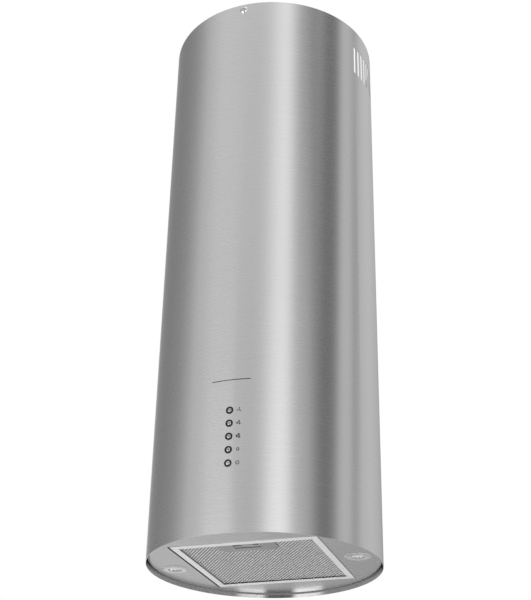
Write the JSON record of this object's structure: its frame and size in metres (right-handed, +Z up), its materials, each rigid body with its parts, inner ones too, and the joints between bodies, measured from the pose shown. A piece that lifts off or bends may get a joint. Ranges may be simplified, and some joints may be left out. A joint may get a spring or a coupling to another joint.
{
  "type": "island range hood",
  "caption": "Cylindrical brushed stainless island range hood with a recessed suction panel, square mesh grease filter, spot lamps, push buttons and side vents.",
  "frame": {"origin": "centre of the ceiling frame's top face, where it bolts to the ceiling", "axes": "+Z up, -Y the front with the buttons, +X the right-hand side seen from the front"},
  "size_m": [0.39, 0.397, 1.04],
  "materials": {
    "shell_steel": "brushed around the tube",
    "panel_steel": "fine brushed, satin",
    "galvanised_steel": "galvanised sheet",
    "zinc_steel": "zinc plated",
    "polished_steel": "polished",
    "frame_aluminium": "satin",
    "mesh_aluminium": "expanded mesh, bare",
    "handle_steel": "satin",
    "wheel_steel": "galvanised",
    "core_steel": "laminated",
    "winding_copper": "enamelled wire",
    "motor_paint": "satin paint",
    "bushing_bronze": "sintered",
    "black_plastic": "fine texture",
    "board_green": "lacquered board",
    "terminal_white": "moulded",
    "capacitor_can": "satin",
    "button_metal": "satin chrome on plastic",
    "lamp_metal": "satin chrome",
    "reflector_metal": "bright facets",
    "bulb_glass": "clear",
    "lamp_ceramic": "glazed",
    "cable_sheath": "matte sheath"
  },
  "bodies": {
    "hood": {"base_frame": "galvanised_steel", "blower_box": "galvanised_steel", "box_screws": "zinc_steel", "cable_gland": "black_plastic", "capacitor": "capacitor_can", "ceiling_frame": "galvanised_steel", "control_board": "board_green", "control_box": "galvanised_steel", "control_lid": "galvanised_steel", "duct_collar": "galvanised_steel", "flap_pins": "zinc_steel", "frame_bolts": "zinc_steel", "frame_nuts": "zinc_steel", "lamp_bezel_left": "lamp_metal", "lamp_bezel_right": "lamp_metal", "lamp_bulbs": "bulb_glass", "lamp_cable_left": "cable_sheath", "lamp_cable_right": "cable_sheath", "lamp_holders": "lamp_ceramic", "lamp_reflectors": "reflector_metal", "latch_keeper": "polished_steel", "motor_bracket": "galvanised_steel", "motor_cable": "cable_sheath", "motor_housing": "motor_paint", "outer_shell": "shell_steel", "scroll_housing": "galvanised_steel", "shaft_bushings": "bushing_bronze", "shell_brackets": "galvanised_steel", "shell_screws": "polished_steel", "shell_washers": "polished_steel", "stator": "core_steel", "suction_panel": "panel_steel", "switch_board": "board_green", "switch_bracket": "galvanised_steel", "switch_cable": "cable_sheath", "switch_housing": "black_plastic", "terminal_block": "terminal_white", "top_deck": "galvanised_steel", "upright_front_left": "galvanised_steel", "upright_front_right": "galvanised_steel", "upright_rear_left": "galvanised_steel", "upright_rear_right": "galvanised_steel", "windings": "winding_copper"},
    "filter": {"filter_frame": "frame_aluminium", "filter_mesh": "mesh_aluminium", "filter_handle": "handle_steel", "latch_springs": "zinc_steel"},
    "latch": {"latch_slider": "zinc_steel"},
    "wheel": {"impeller": "wheel_steel", "motor_shaft": "zinc_steel", "rotor": "core_steel"},
    "left_flap": {"flap_left": "black_plastic"},
    "right_flap": {"flap_right": "black_plastic"},
    "button_off": {"button_off": "button_metal"},
    "button_lamp": {"button_lamp": "button_metal"},
    "button_fan_high": {"button_fan_high": "button_metal"},
    "button_fan_medium": {"button_fan_medium": "button_metal"},
    "button_fan_low": {"button_fan_low": "button_metal"}
  },
  "joints": [
    {"name": "impeller_spin", "type": "hinge", "parent": "hood", "child": "wheel", "pos_m": [0, -0.015, -0.85], "axis": [1, 0, 0], "continuous": true},
    {"name": "flap_left_hinge", "type": "hinge", "parent": "hood", "child": "left_flap", "pos_m": [-0.0034, 0, -0.682], "axis": [0, 1, 0], "range_deg": [0, 78]},
    {"name": "flap_right_hinge", "type": "hinge", "parent": "hood", "child": "right_flap", "pos_m": [0.0034, 0, -0.682], "axis": [0, -1, 0], "range_deg": [0, 78]},
    {"name": "filter_tilt", "type": "hinge", "parent": "hood", "child": "filter", "pos_m": [0, 0.124, -1.0325], "axis": [1, 0, 0], "range_deg": [0, 60], "deforming": ["latch_keeper"]},
    {"name": "latch_slide", "type": "slide", "parent": "filter", "child": "latch", "axis": [0, 1, 0], "range_m": [0, 0.005], "stiffness_N_per_m": 400, "springref_m": -0.003, "deforming": ["latch_springs"]},
    {"name": "button_off_press", "type": "slide", "parent": "hood", "child": "button_off", "axis": [0, 1, 0], "range_m": [0, 0.0025], "stiffness_N_per_m": 500, "springref_m": -0.001},
    {"name": "button_lamp_press", "type": "slide", "parent": "hood", "child": "button_lamp", "axis": [0, 1, 0], "range_m": [0, 0.0025], "stiffness_N_per_m": 500, "springref_m": -0.001},
    {"name": "button_fan_high_press", "type": "slide", "parent": "hood", "child": "button_fan_high", "axis": [0, 1, 0], "range_m": [0, 0.0025], "stiffness_N_per_m": 500, "springref_m": -0.001},
    {"name": "button_fan_medium_press", "type": "slide", "parent": "hood", "child": "button_fan_medium", "axis": [0, 1, 0], "range_m": [0, 0.0025], "stiffness_N_per_m": 500, "springref_m": -0.001},
    {"name": "button_fan_low_press", "type": "slide", "parent": "hood", "child": "button_fan_low", "axis": [0, 1, 0], "range_m": [0, 0.0025], "stiffness_N_per_m": 500, "springref_m": -0.001}
  ]
}
